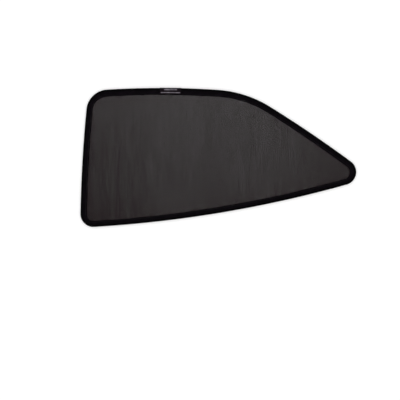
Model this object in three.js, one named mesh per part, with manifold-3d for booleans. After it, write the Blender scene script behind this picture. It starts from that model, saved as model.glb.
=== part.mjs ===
// A car side window sunshade: black see-through mesh held taut in a steel wire ring, with a folded tape
// sewn round its edge, flat bar magnets hidden in the tape and a small woven label at the top.
// Millimetres. The shade lies on its back, the side that meets the door frame, with its front up (+Z).
// +X runs from the rear edge to the pointed front tip, and +Y from the sill to the roof.
import * as THREE from "three";
import { mergeVertices } from "three/addons/utils/BufferGeometryUtils.js";
import Module from "manifold-3d";

const wasm = await Module();
wasm.setup();

// The window's outline is four corner circles joined by four bowed edges.
const LENGTH = 780;
const UPPER_CORNERS_HEIGHT = 388.5;
const REAR_LEAN = 16.6;
const REAR_TOP_RADIUS = 62;
const REAR_BOTTOM_RADIUS = 36.5;
const SHOULDER_RADIUS = 322;
const SHOULDER_FROM_TIP = 413.5;
const TIP_RADIUS = 37;
const TIP_HEIGHT = 155.3;
const TOP_BOW_RADIUS = 2470;
const SLOPE_BOW_RADIUS = 3490;
const SILL_BOW_RADIUS = 3385;
const REAR_BOW_RADIUS = 3760;

// How far a chord may cut inside the round edge that it stands for.
const CHORD_ERROR = 0.12;

// Clearance between pieces that touch on the real object.
const TOUCH_GAP = 0.3;

// The ring of spring steel wire.
const WIRE_DIAMETER = 3.5;
const WIRE_SIDES = 10;

// The folded edge tape.
const TAPE_THICKNESS = 0.9;
const BEAD_STEPS = 8;
const TAPE_LEAVES_BEAD_AT = THREE.MathUtils.degToRad(78);
const FLAP_BULGE = 0.15;
const HEM_PAST_SEAM = 2.6;
const TAPE_END_GAP = 0.4;
// How much wider than its narrowest the hem is sewn along each edge.
const EXTRA_HEM = { top: 3.6, slope: 2.2, sill: 0.9, rear: 1.8 };

// The two threads of the lockstitch seam, each sunk into its own side of the tape.
const THREAD_WIDTH = 0.5;
const THREAD_THICKNESS = 0.3;
const GROOVE_FLARE = 0.4;

// The mesh cloth.
const MESH_THICKNESS = 0.5;
const MESH_PAST_SEAM = 2.4;
const MESH_TO_MAGNET = 0.6;
const SLIT_COUNT = 118;
const SLIT_WIDTH = 1.2;
const SLIT_TO_HEM = 1.5;
const RIDGE_HEIGHT = 0.25;
const RIDGE_TO_SLIT = 0.6;

// The bar magnets.
const MAGNET_LENGTH = 20;
const MAGNET_WIDTH = 5;
const MAGNET_THICKNESS = 1.5;
const MAGNET_COUNT = { top: 3, slope: 2, sill: 3, rear: 2 };

// The woven label, with two plain raised stripes.
const LABEL_LENGTH = 60;
const LABEL_FROM_REAR = 254.8;
const LABEL_THICKNESS = 0.4;
const LABEL_STARTS_AT = THREE.MathUtils.degToRad(200);
const LABEL_TO_SEAM = 0.6;
const LABEL_STEPS = 6;
const STRIPE_HEIGHT = 0.25;
const STRIPE_SUNK = 0.15;
const UPPER_STRIPE = { length: 36, width: 3.4, pastCrown: 0.3 };
const LOWER_STRIPE = { length: 55, width: 2.8, toLabelEnd: 0.8 };

// Sizes that follow from those above. A hem size is a distance in from the outline.
const wireRadius = WIRE_DIAMETER / 2;
const channelRadius = wireRadius + TOUCH_GAP;
const beadRadius = channelRadius + TAPE_THICKNESS;
const magnetEdge = beadRadius + wireRadius + TOUCH_GAP;
const magnetEnd = magnetEdge + MAGNET_WIDTH;
const narrowestSeam = magnetEnd + MESH_TO_MAGNET + MESH_PAST_SEAM;
const magnetBottom = TAPE_THICKNESS + TOUCH_GAP;
const magnetTop = magnetBottom + MAGNET_THICKNESS;
const meshBottom = TAPE_THICKNESS + TOUCH_GAP;
const frontFlapBottom = meshBottom + MESH_THICKNESS + TOUCH_GAP;
const hemHeight = frontFlapBottom + TAPE_THICKNESS;
const grooveDepth = THREAD_THICKNESS + TOUCH_GAP;
const grooveHalf = THREAD_WIDTH / 2 + TOUCH_GAP;

const MATERIALS = {
  wire: new THREE.MeshStandardMaterial({ color: 0x2a2b2d, roughness: 0.5, metalness: 0.8 }),
  tape: new THREE.MeshStandardMaterial({ color: 0x0f0e12, roughness: 0.9, metalness: 0 }),
  mesh: new THREE.MeshStandardMaterial({ color: 0x1b1a1c, roughness: 0.8, metalness: 0 }),
  thread: new THREE.MeshStandardMaterial({ color: 0x17161a, roughness: 0.6, metalness: 0 }),
  magnet: new THREE.MeshStandardMaterial({ color: 0xb4b5b8, roughness: 0.3, metalness: 1 }),
  label: new THREE.MeshStandardMaterial({ color: 0x141318, roughness: 0.8, metalness: 0 }),
};

const shade = new THREE.Group();

function addPiece(name, geometry, material) {
  const piece = new THREE.Mesh(geometry, material);
  piece.name = name;
  shade.add(piece);
  return piece;
}

// The corner circles in the order of travel, clockwise from the rear top, and the bowed edge that leaves each.
const CORNERS = [
  {
    centre: new THREE.Vector2(REAR_LEAN + REAR_TOP_RADIUS, UPPER_CORNERS_HEIGHT - REAR_TOP_RADIUS),
    radius: REAR_TOP_RADIUS,
    edge: "top",
    bow: TOP_BOW_RADIUS,
  },
  {
    centre: new THREE.Vector2(LENGTH - SHOULDER_FROM_TIP, UPPER_CORNERS_HEIGHT - SHOULDER_RADIUS),
    radius: SHOULDER_RADIUS,
    edge: "slope",
    bow: SLOPE_BOW_RADIUS,
  },
  {
    centre: new THREE.Vector2(LENGTH - TIP_RADIUS, TIP_HEIGHT),
    radius: TIP_RADIUS,
    edge: "sill",
    bow: SILL_BOW_RADIUS,
  },
  {
    centre: new THREE.Vector2(REAR_BOTTOM_RADIUS, REAR_BOTTOM_RADIUS),
    radius: REAR_BOTTOM_RADIUS,
    edge: "rear",
    bow: REAR_BOW_RADIUS,
  },
];

// The centre of the large circle that runs round two corner circles and touches both from outside.
function bowCentre(from, to) {
  const reachFrom = from.bow - from.radius;
  const reachTo = from.bow - to.radius;
  const along = to.centre.clone().sub(from.centre);
  const apart = along.length();
  along.normalize();
  const inward = new THREE.Vector2(along.y, -along.x);
  const foot = (reachFrom ** 2 - reachTo ** 2 + apart ** 2) / (2 * apart);
  const drop = Math.sqrt(reachFrom ** 2 - foot ** 2);
  return from.centre.clone().addScaledVector(along, foot).addScaledVector(inward, drop);
}

// The angle of the way out from one point through another.
function angleOf(centre, through) {
  return Math.atan2(through.y - centre.y, through.x - centre.x);
}

// The outline as eight arcs, each turning clockwise from angle start through sweep.
function outlineArcs() {
  const bows = CORNERS.map((corner, i) => bowCentre(corner, CORNERS[(i + 1) % CORNERS.length]));
  const arcs = [];
  CORNERS.forEach((corner, i) => {
    const before = CORNERS[(i + CORNERS.length - 1) % CORNERS.length];
    const next = CORNERS[(i + 1) % CORNERS.length];
    const cameIn = angleOf(bows[(i + CORNERS.length - 1) % CORNERS.length], corner.centre);
    const leaves = angleOf(bows[i], corner.centre);
    const arrives = angleOf(bows[i], next.centre);
    arcs.push(clockwiseArc(corner.centre, corner.radius, cameIn, leaves, before.edge, corner.edge));
    arcs.push(clockwiseArc(bows[i], corner.bow, leaves, arrives, corner.edge, corner.edge));
  });
  return arcs;
}

function clockwiseArc(centre, radius, start, end, hemFrom, hemTo) {
  const sweep = THREE.MathUtils.euclideanModulo(start - end, 2 * Math.PI);
  return { centre, radius, start, sweep, hemFrom, hemTo };
}

// A station is a place on the outline: its point, the way in from it, and how wide the hem is there.
function stationOn(arc, share) {
  const angle = arc.start - arc.sweep * share;
  const out = new THREE.Vector2(Math.cos(angle), Math.sin(angle));
  const blend = THREE.MathUtils.smoothstep(share, 0, 1);
  const extra = THREE.MathUtils.lerp(EXTRA_HEM[arc.hemFrom], EXTRA_HEM[arc.hemTo], blend);
  return {
    point: arc.centre.clone().addScaledVector(out, arc.radius),
    inward: out.clone().negate(),
    seam: narrowestSeam + extra,
  };
}

function stepsOn(arc) {
  const widest = 2 * Math.acos(1 - CHORD_ERROR / arc.radius);
  return Math.max(2, Math.ceil(arc.sweep / widest));
}

function stationsOver(arc, from, to) {
  const steps = Math.max(1, Math.ceil(stepsOn(arc) * (to - from)));
  return Array.from({ length: steps }, (_, k) => stationOn(arc, from + ((to - from) * k) / steps));
}

const ARCS = outlineArcs();
const edgeArc = (name) => ARCS.find((arc) => arc.hemFrom === name && arc.hemTo === name);

// The share of the top edge at which the label's middle and the tape's two ends lie.
const topArc = edgeArc("top");
const labelAngle = Math.acos((LABEL_FROM_REAR - topArc.centre.x) / topArc.radius);
const labelShare = (topArc.start - labelAngle) / topArc.sweep;
const shareOfLength = (arc, length) => length / (arc.radius * arc.sweep);

// All the way round the outline once, from the first station back to just before it.
const ringStations = ARCS.flatMap((arc) => stationsOver(arc, 0, 1));

// Round the outline from one end of the tape, past the label's middle, to its other end.
function tapeStations() {
  const half = shareOfLength(topArc, TAPE_END_GAP / 2);
  const first = ARCS.indexOf(topArc);
  const others = [...ARCS.slice(first + 1), ...ARCS.slice(0, first)];
  return [
    ...stationsOver(topArc, labelShare + half, 1),
    ...others.flatMap((arc) => stationsOver(arc, 0, 1)),
    ...stationsOver(topArc, 0, labelShare - half),
    stationOn(topArc, labelShare - half),
  ];
}

// A point of a section, u in from the outline and z up.
function at(station, section) {
  const flat = station.point.clone().addScaledVector(station.inward, section.x);
  return [flat.x, flat.y, section.y];
}

// Sweeps an anticlockwise section along the stations. A ring closes on itself, and a run gets end caps.
function sweep(stations, sectionAt, isRing) {
  const sections = stations.map((station) => sectionAt(station));
  const count = sections[0].length;
  const positions = stations.flatMap((station, k) => sections[k].flatMap((p) => at(station, p)));
  const index = [];
  const spans = isRing ? stations.length : stations.length - 1;
  for (let k = 0; k < spans; k++) {
    const here = k * count;
    const there = ((k + 1) % stations.length) * count;
    for (let i = 0; i < count; i++) {
      const j = (i + 1) % count;
      index.push(here + i, there + i, there + j, here + i, there + j, here + j);
    }
  }
  if (!isRing) {
    const last = (stations.length - 1) * count;
    for (const [a, b, c] of THREE.ShapeUtils.triangulateShape(sections[0], [])) index.push(a, b, c);
    for (const [a, b, c] of THREE.ShapeUtils.triangulateShape(sections.at(-1), []))
      index.push(last + a, last + c, last + b);
  }
  const geometry = new THREE.BufferGeometry();
  geometry.setAttribute("position", new THREE.Float32BufferAttribute(positions, 3));
  geometry.setIndex(index);
  geometry.computeVertexNormals();
  return geometry;
}

// Points of an arc about the wire's centre, from one angle to another.
function aboutWire(radius, from, to, steps) {
  return Array.from({ length: steps + 1 }, (_, k) => {
    const angle = from + ((to - from) * k) / steps;
    return new THREE.Vector2(
      beadRadius + radius * Math.cos(angle),
      beadRadius + radius * Math.sin(angle),
    );
  });
}

// A line of points moved sideways by a distance: to its right as it runs, or to its left if below zero.
function offsetLine(points, distance) {
  return points.map((point, i) => {
    const before = points[Math.max(i - 1, 0)];
    const after = points[Math.min(i + 1, points.length - 1)];
    const into = point.clone().sub(before).normalize();
    const out = after.clone().sub(point).normalize();
    const along = into.clone().add(out).normalize();
    const stretch = 1 / Math.max(0.5, i === 0 ? along.dot(out) : along.dot(into));
    const right = new THREE.Vector2(along.y, -along.x);
    return point.clone().addScaledVector(right, distance * stretch);
  });
}

// The front flap's outer line at a station: taut from the bead to the seam, or pushed up by the magnets.
function frontFlap(station) {
  const [leaving] = aboutWire(beadRadius, TAPE_LEAVES_BEAD_AT, TAPE_LEAVES_BEAD_AT, 1);
  const slopeEnd = new THREE.Vector2(station.seam - grooveHalf - GROOVE_FLARE, hemHeight);
  const u = magnetEnd + TOUCH_GAP;
  const taut = leaving.clone().lerp(slopeEnd, (u - leaving.x) / (slopeEnd.x - leaving.x));
  const pushedUp = magnetTop + TOUCH_GAP + TAPE_THICKNESS;
  const overMagnet = new THREE.Vector2(u, Math.max(taut.y, pushedUp) + FLAP_BULGE);
  const between = leaving.clone().lerp(overMagnet, 0.5);
  between.y += FLAP_BULGE;
  return [between, overMagnet, slopeEnd];
}

// The folded tape: round the wire as a bead, then two flaps with the mesh between them.
function tapeSection(station) {
  const hem = station.seam + HEM_PAST_SEAM;
  const grooveOuter = grooveHalf + GROOVE_FLARE;
  const point = (u, z) => new THREE.Vector2(u, z);
  const bead = aboutWire(beadRadius, 1.5 * Math.PI, TAPE_LEAVES_BEAD_AT, BEAD_STEPS);
  const channel = aboutWire(channelRadius, TAPE_LEAVES_BEAD_AT, 1.5 * Math.PI, BEAD_STEPS);
  const flap = frontFlap(station);
  const inside = offsetLine([bead.at(-1), ...flap, point(hem, hemHeight)], TAPE_THICKNESS);
  const outerFace = [
    point(hem, 0),
    point(station.seam + grooveOuter, 0),
    point(station.seam + grooveHalf, grooveDepth),
    point(station.seam - grooveHalf, grooveDepth),
    point(station.seam - grooveOuter, 0),
    ...bead,
    ...flap,
    point(station.seam - grooveHalf, hemHeight - grooveDepth),
    point(station.seam + grooveHalf, hemHeight - grooveDepth),
    point(station.seam + grooveOuter, hemHeight),
    point(hem, hemHeight),
  ];
  const innerFace = [
    point(hem, frontFlapBottom),
    point(station.seam - grooveOuter, frontFlapBottom),
    inside[2],
    inside[1],
    ...channel,
    point(hem, TAPE_THICKNESS),
  ];
  return [...outerFace, ...innerFace].reverse();
}

// The wire ring, welded end to end.
function wireSection() {
  return aboutWire(wireRadius, 0, 2 * Math.PI, WIRE_SIDES).slice(0, WIRE_SIDES);
}

// One thread of the seam as a flat line of stitching.
function threadSection(station, bottom) {
  const half = THREAD_WIDTH / 2;
  return [
    new THREE.Vector2(station.seam - half, bottom),
    new THREE.Vector2(station.seam + half, bottom),
    new THREE.Vector2(station.seam + half, bottom + THREAD_THICKNESS),
    new THREE.Vector2(station.seam - half, bottom + THREAD_THICKNESS),
  ];
}

// A closed geometry as a manifold solid, and back.
function toSolid(geometry) {
  const bare = geometry.clone();
  bare.deleteAttribute("normal");
  bare.deleteAttribute("uv");
  const merged = mergeVertices(bare);
  return new wasm.Manifold(
    new wasm.Mesh({
      numProp: 3,
      vertProperties: merged.attributes.position.array,
      triVerts: new Uint32Array(merged.index.array),
    }),
  );
}

function toGeometry(solid) {
  const mesh = solid.getMesh();
  const geometry = new THREE.BufferGeometry();
  geometry.setAttribute("position", new THREE.BufferAttribute(mesh.vertProperties, 3));
  geometry.setIndex(new THREE.BufferAttribute(mesh.triVerts, 1));
  geometry.computeVertexNormals();
  return geometry;
}

// The outline moved in by an amount that each station gives.
function insetOutline(inset) {
  return ringStations.map((station) =>
    station.point.clone().addScaledVector(station.inward, inset(station)),
  );
}

// The lowest and highest y of a closed outline at one x.
function heightsAt(outline, x) {
  const crossings = [];
  outline.forEach((a, i) => {
    const b = outline[(i + 1) % outline.length];
    if (a.x < x !== b.x < x) crossings.push(a.y + ((b.y - a.y) * (x - a.x)) / (b.x - a.x));
  });
  return [Math.min(...crossings), Math.max(...crossings)];
}

function rectangle(left, bottom, right, top) {
  return [
    new THREE.Vector2(left, bottom),
    new THREE.Vector2(right, bottom),
    new THREE.Vector2(right, top),
    new THREE.Vector2(left, top),
  ];
}

// The mesh cloth: upright slits stand for its columns of holes, and a ridge of yarn runs between two slits.
function meshPanel() {
  const cutEdge = insetOutline((station) => station.seam - MESH_PAST_SEAM);
  const hemEdge = insetOutline((station) => station.seam + HEM_PAST_SEAM);
  const xs = hemEdge.map((p) => p.x);
  const left = Math.min(...xs);
  const pitch = (Math.max(...xs) - left) / (SLIT_COUNT + 1);
  const cloth = new THREE.Shape(cutEdge);
  for (let k = 1; k <= SLIT_COUNT; k++) {
    const middle = left + pitch * k;
    const [bottom, top] = clearHeights(hemEdge, middle, SLIT_WIDTH / 2);
    cloth.holes.push(
      new THREE.Path(rectangle(middle - SLIT_WIDTH / 2, bottom, middle + SLIT_WIDTH / 2, top)),
    );
  }
  const sheet = new THREE.ExtrudeGeometry(cloth, { depth: MESH_THICKNESS, bevelEnabled: false });
  const ridges = [];
  for (let k = 1; k < SLIT_COUNT; k++) {
    const middle = left + pitch * (k + 0.5);
    const half = (pitch - SLIT_WIDTH) / 2 - RIDGE_TO_SLIT;
    const [bottom, top] = clearHeights(hemEdge, middle, half);
    ridges.push(toSolid(ridge(middle, half, bottom, top)));
  }
  const solid = wasm.Manifold.union([toSolid(sheet), ...ridges]);
  const geometry = toGeometry(solid);
  geometry.translate(0, 0, meshBottom);
  return geometry;
}

// The heights between the hems that stay clear over the whole width of a slit or ridge.
function clearHeights(outline, middle, half) {
  const ends = [middle - half, middle + half].map((x) => heightsAt(outline, x));
  return [
    Math.max(...ends.map(([low]) => low)) + SLIT_TO_HEM,
    Math.min(...ends.map(([, high]) => high)) - SLIT_TO_HEM,
  ];
}

// A long low roof of yarn on the sheet's upper face.
function ridge(middle, half, bottom, top) {
  const base = MESH_THICKNESS / 2;
  const section = new THREE.Shape([
    new THREE.Vector2(-half, base),
    new THREE.Vector2(half, base),
    new THREE.Vector2(half, MESH_THICKNESS),
    new THREE.Vector2(0, MESH_THICKNESS + RIDGE_HEIGHT),
    new THREE.Vector2(-half, MESH_THICKNESS),
  ]);
  const roof = new THREE.ExtrudeGeometry(section, { depth: top - bottom, bevelEnabled: false });
  roof.rotateX(Math.PI / 2);
  roof.translate(middle, top, 0);
  return roof;
}

// The part of a line of section points whose distance in lies between two values.
function lineBetween(points, from, to) {
  const cut = (u) => {
    const i = points.findIndex((p, k) => k > 0 && p.x >= u);
    const share = (u - points[i - 1].x) / (points[i].x - points[i - 1].x);
    return points[i - 1].clone().lerp(points[i], share);
  };
  return [cut(from), ...points.filter((p) => p.x > from && p.x < to), cut(to)];
}

// The line of the label's underside: up round the bead and down the front flap.
function labelLine(station) {
  const bead = aboutWire(beadRadius, LABEL_STARTS_AT, TAPE_LEAVES_BEAD_AT, BEAD_STEPS);
  const [between, overMagnet, slopeEnd] = frontFlap(station);
  const last = overMagnet.clone().lerp(slopeEnd, 1 - LABEL_TO_SEAM / (slopeEnd.x - overMagnet.x));
  return offsetLine([...bead, between, overMagnet, last], -TOUCH_GAP);
}

function bandSection(line, bottom, top) {
  return [...offsetLine(line, -bottom), ...offsetLine(line, -top).reverse()];
}

// A stripe's section: a band of the label's face, sunk into it a little so that the two are one piece.
function stripeSection(station, width, fromIn) {
  const face = offsetLine(labelLine(station), -LABEL_THICKNESS);
  const overCrown = face.slice(face.findIndex((p, i) => i > 0 && p.x > face[i - 1].x));
  const from = fromIn(overCrown.at(-1).x);
  return bandSection(lineBetween(overCrown, from, from + width), -STRIPE_SUNK, STRIPE_HEIGHT);
}

// Stations over a length of the top edge with the label's middle at its middle.
function labelStations(length) {
  const half = shareOfLength(topArc, length / 2);
  return Array.from({ length: LABEL_STEPS + 1 }, (_, k) =>
    stationOn(topArc, labelShare - half + (2 * half * k) / LABEL_STEPS),
  );
}

// The woven label with its two stripes.
function label() {
  const clothSection = (station) => bandSection(labelLine(station), 0, LABEL_THICKNESS);
  const upperSection = (station) =>
    stripeSection(station, UPPER_STRIPE.width, () => beadRadius + UPPER_STRIPE.pastCrown);
  const lowerSection = (station) =>
    stripeSection(
      station,
      LOWER_STRIPE.width,
      (end) => end - LOWER_STRIPE.toLabelEnd - LOWER_STRIPE.width,
    );
  return toGeometry(
    wasm.Manifold.union([
      toSolid(sweep(labelStations(LABEL_LENGTH), clothSection, false)),
      toSolid(sweep(labelStations(UPPER_STRIPE.length), upperSection, false)),
      toSolid(sweep(labelStations(LOWER_STRIPE.length), lowerSection, false)),
    ]),
  );
}

// Bar magnets in the channel beside the wire, evenly along each edge.
function addMagnets() {
  for (const [edge, count] of Object.entries(MAGNET_COUNT)) {
    for (let k = 0; k < count; k++) {
      const station = stationOn(edgeArc(edge), (k + 0.5) / count);
      const middle = at(
        station,
        new THREE.Vector2((magnetEdge + magnetEnd) / 2, (magnetBottom + magnetTop) / 2),
      );
      const bar = new THREE.BoxGeometry(MAGNET_LENGTH, MAGNET_WIDTH, MAGNET_THICKNESS);
      const magnet = addPiece(`magnet_${edge}_${k + 1}`, bar, MATERIALS.magnet);
      magnet.position.set(...middle);
      magnet.rotation.z = Math.atan2(station.inward.x, -station.inward.y);
    }
  }
}

addPiece("wire_ring", sweep(ringStations, wireSection, true), MATERIALS.wire);
addPiece("edge_tape", sweep(tapeStations(), tapeSection, false), MATERIALS.tape);
addPiece("mesh_panel", meshPanel(), MATERIALS.mesh);
addPiece(
  "needle_thread",
  sweep(ringStations, (station) => threadSection(station, hemHeight - THREAD_THICKNESS), true),
  MATERIALS.thread,
);
addPiece("bobbin_thread", sweep(ringStations, (station) => threadSection(station, 0), true), MATERIALS.thread);
addPiece("label", label(), MATERIALS.label);
addMagnets();

// The origin is the middle of the shade's footprint, on the surface that it lies on.
const footprint = new THREE.Box3().setFromObject(shade);
const middle = footprint.getCenter(new THREE.Vector3());
shade.position.set(-middle.x, -middle.y, -footprint.min.z);

const part = new THREE.Group();
part.add(shade);

export default part;
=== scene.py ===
"""Dresses a car side window sunshade: its edge tape, seam, mesh cloth, label and metal core."""

import logging
import math
from dataclasses import dataclass, field, replace
from enum import Enum

import bpy
import numpy as np
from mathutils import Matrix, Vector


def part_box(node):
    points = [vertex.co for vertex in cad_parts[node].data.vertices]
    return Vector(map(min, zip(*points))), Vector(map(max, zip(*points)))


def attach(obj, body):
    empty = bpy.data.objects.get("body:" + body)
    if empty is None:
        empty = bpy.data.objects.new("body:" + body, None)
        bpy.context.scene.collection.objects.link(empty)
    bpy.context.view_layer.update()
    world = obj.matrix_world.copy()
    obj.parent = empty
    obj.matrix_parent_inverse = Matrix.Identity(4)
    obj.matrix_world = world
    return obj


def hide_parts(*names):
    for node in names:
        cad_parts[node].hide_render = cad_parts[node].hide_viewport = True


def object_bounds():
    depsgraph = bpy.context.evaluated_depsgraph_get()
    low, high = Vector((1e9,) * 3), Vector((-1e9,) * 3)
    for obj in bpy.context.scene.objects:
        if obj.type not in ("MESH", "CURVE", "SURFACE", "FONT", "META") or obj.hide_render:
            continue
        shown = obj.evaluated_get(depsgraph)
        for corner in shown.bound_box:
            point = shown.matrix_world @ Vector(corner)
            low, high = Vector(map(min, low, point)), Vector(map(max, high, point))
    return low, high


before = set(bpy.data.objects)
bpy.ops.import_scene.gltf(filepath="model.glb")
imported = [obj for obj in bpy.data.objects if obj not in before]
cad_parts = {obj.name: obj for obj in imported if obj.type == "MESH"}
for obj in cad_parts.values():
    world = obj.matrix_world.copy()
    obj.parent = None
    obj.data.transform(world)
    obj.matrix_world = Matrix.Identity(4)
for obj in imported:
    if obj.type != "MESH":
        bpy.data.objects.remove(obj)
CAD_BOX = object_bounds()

LOG = logging.getLogger("sunshade")
BODY = "root"
MM = 0.001

# What one pixel of the 400 pixel wide photograph measures on the shade,
# and where the shade's middle is in it.
PHOTO_WIDTH = 400
PIXEL = 2.832 * MM
SHADE_MIDDLE_PX = (218.3, 157.4)

# A smooth random line's number of knots, and the one that stands at place 0.
KNOTS = 4096
MIDDLE_KNOT = 2000


class Side(Enum):
    """The two faces of the shade."""

    FRONT = 1
    BACK = -1


class Line(Enum):
    """The smooth random lines that make the cloth uneven, each by its seed."""

    SEAM = 3
    LONG_RIPPLE = 11
    SHORT_RIPPLE = 12
    GATHERS = 13
    HEM_SHORT = 21
    HEM_LONG = 22
    STREAK = 41
    STREAK_CROSSED = 42
    STREAK_BROAD = 43
    STREAK_TURN = 44
    CLOUD = 45
    LABEL = 61


def smooth_step(share: np.ndarray) -> np.ndarray:
    """Returns an easing from 0 to 1 of shares that may lie outside that range."""
    held = np.clip(share, 0, 1)
    return held * held * (3 - 2 * held)


def bell(offset: np.ndarray, width: float) -> np.ndarray:
    """Returns a bump of height 1 at offset 0 that fades over the width."""
    return np.exp(-((offset / width) ** 2))


def slow_noise(at: np.ndarray, wavelength: float, line: Line | int) -> np.ndarray:
    """Makes a smooth random line, the same one each time.

    Args:
        at: Where to read it, in metres.
        wavelength: The distance between its knots, in metres.
        line: Picks the line, by name or by a seed.

    Returns:
        Its height at each place, from -1 to 1.
    """
    seed = line.value if isinstance(line, Line) else line
    knots = np.random.default_rng(seed).uniform(-1, 1, KNOTS)
    place = np.asarray(at) / wavelength + MIDDLE_KNOT
    before = np.floor(place).astype(int)
    ease = smooth_step(place - before)
    return knots[before] * (1 - ease) + knots[before + 1] * ease


@dataclass(frozen=True)
class Arc:
    """One clockwise arc of the outline, with how much wider the hem is at its two ends."""

    centre: np.ndarray
    radius: float
    start: float
    sweep: float
    hem_from: float
    hem_to: float

    def length(self) -> float:
        """Returns the arc's length."""
        return self.radius * self.sweep


@dataclass(frozen=True)
class Stations:
    """Places on the outline: their points, ways in, seam distances and corner tightness."""

    distance: np.ndarray
    point: np.ndarray
    inward: np.ndarray
    seam: np.ndarray
    tightness: np.ndarray

    def place(self, u: np.ndarray, z: np.ndarray) -> np.ndarray:
        """Puts section points in space.

        Args:
            u: Distances in from the outline, a row for each station.
            z: Heights, in the same layout.

        Returns:
            The points, station by section point by axis.
        """
        flat = self.point[:, None, :] + self.inward[:, None, :] * u[..., None]
        return np.concatenate([flat, z[..., None]], axis=2)


@dataclass
class Outline:
    """The window's outline: four corner circles joined by four bowed edges, as in the solids.

    The bows and the extra hems are those of the top, the slope, the sill and the rear edge, in that order.
    Corners whose radius is small against loose_radius gather the hem.
    """

    length: float = 780 * MM
    upper_corners_height: float = 388.5 * MM
    rear_lean: float = 16.6 * MM
    rear_top_radius: float = 62 * MM
    rear_bottom_radius: float = 36.5 * MM
    shoulder_radius: float = 322 * MM
    shoulder_from_tip: float = 413.5 * MM
    tip_radius: float = 37 * MM
    tip_height: float = 155.3 * MM
    bows: tuple = (2470 * MM, 3490 * MM, 3385 * MM, 3760 * MM)
    extra_hem: tuple = (3.6 * MM, 2.2 * MM, 0.9 * MM, 1.8 * MM)
    narrowest_seam: float = 13 * MM
    label_from_rear: float = 254.8 * MM
    seam_wobble: float = 0.12 * MM
    wobble_length: float = 24 * MM
    loose_radius: float = 80 * MM
    most_tightness: float = 1.4
    corner_ease: float = 6.0
    arcs: list = field(init=False)

    def __post_init__(self) -> None:
        """Works out the arcs, and moves them to where the solid edge tape lies."""
        corners = [
            ((self.rear_lean + self.rear_top_radius, self.upper_corners_height), self.rear_top_radius),
            ((self.length - self.shoulder_from_tip, self.upper_corners_height), self.shoulder_radius),
            ((self.length - self.tip_radius, self.tip_height + self.tip_radius), self.tip_radius),
            ((self.rear_bottom_radius, 2 * self.rear_bottom_radius), self.rear_bottom_radius),
        ]
        radii = [radius for _, radius in corners]
        centres = [np.array(top) - (0, radius) for top, radius in corners]
        ring = range(len(corners))
        middles = [
            self._bow_centre(centres[i], radii[i], centres[i - 3], radii[i - 3], self.bows[i])
            for i in ring
        ]
        shift = self._shift(centres[3], radii[3])
        arcs = []
        for i in ring:
            came_in = self._angle(middles[i - 1], centres[i])
            leaves = self._angle(middles[i], centres[i])
            arrives = self._angle(middles[i], centres[i - 3])
            before, after = self.extra_hem[i - 1], self.extra_hem[i]
            turn = (came_in - leaves) % math.tau
            bend = (leaves - arrives) % math.tau
            arcs.append(Arc(centres[i] + shift, radii[i], came_in, turn, before, after))
            arcs.append(Arc(middles[i] + shift, self.bows[i], leaves, bend, after, after))
        self.arcs = self._from_label(arcs, shift)

    @staticmethod
    def _bow_centre(a: np.ndarray, ra: float, b: np.ndarray, rb: float, bow: float) -> np.ndarray:
        """Finds the centre of the large circle that holds two corner circles and touches both.

        Args:
            a: The first corner circle's centre.
            ra: Its radius.
            b: The second corner circle's centre.
            rb: Its radius.
            bow: The large circle's radius.

        Returns:
            The large circle's centre.
        """
        reach_a, reach_b = bow - ra, bow - rb
        apart = np.linalg.norm(b - a)
        along = (b - a) / apart
        foot = (reach_a**2 - reach_b**2 + apart**2) / (2 * apart)
        drop = math.sqrt(reach_a**2 - foot**2)
        return a + along * foot + np.array([along[1], -along[0]]) * drop

    @staticmethod
    def _angle(centre: np.ndarray, through: np.ndarray) -> float:
        """Returns the angle of the way out from one point through another."""
        return math.atan2(through[1] - centre[1], through[0] - centre[0])

    def _shift(self, rear_bottom: np.ndarray, radius: float) -> np.ndarray:
        """Returns the move from the rear and sill edges' corner to the solid edge tape's place."""
        low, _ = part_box("edge_tape")
        return np.array([low[0], low[1]]) - (rear_bottom - radius)

    def _from_label(self, arcs: list, shift: np.ndarray) -> list:
        """Puts the arcs in order from the label's middle on the top edge, round to it again.

        Args:
            arcs: The arcs in order from the rear top corner.
            shift: How far they were moved.

        Returns:
            The arcs, with the top edge's in two parts.
        """
        top = arcs[1]
        along = (self.label_from_rear + shift[0] - top.centre[0]) / top.radius
        before = top.start - math.acos(along)
        first = replace(top, start=top.start - before, sweep=top.sweep - before)
        last = replace(top, sweep=before)
        return [first, *arcs[2:], arcs[0], last]

    def round_it(self) -> float:
        """Returns the outline's whole length."""
        return sum(arc.length() for arc in self.arcs)

    def at(self, distance: np.ndarray) -> Stations:
        """Finds places on the outline.

        Args:
            distance: How far each is from the label's middle, clockwise, in metres.

        Returns:
            The stations there.
        """
        distance = np.asarray(distance, float)
        wrapped = distance % self.round_it()
        count = len(distance)
        out, point = np.zeros((count, 2)), np.zeros((count, 2))
        seam, tightness = np.zeros(count), np.zeros(count)
        begins = 0.0
        for arc in self.arcs:
            here = (wrapped >= begins) & (wrapped <= begins + arc.length())
            share = (wrapped[here] - begins) / arc.length()
            angle = arc.start - arc.sweep * share
            out[here] = np.stack([np.cos(angle), np.sin(angle)], axis=1)
            point[here] = arc.centre + out[here] * arc.radius
            blend = smooth_step(share)
            seam[here] = self.narrowest_seam + arc.hem_from * (1 - blend) + arc.hem_to * blend
            ends = smooth_step(share * self.corner_ease) * smooth_step((1 - share) * self.corner_ease)
            tightness[here] = ends * np.clip(self.most_tightness - arc.radius / self.loose_radius, 0, 1)
            begins += arc.length()
        seam = seam + self.seam_wobble * slow_noise(wrapped, self.wobble_length, Line.SEAM)
        return Stations(distance, point, -out, seam, tightness)


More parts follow.
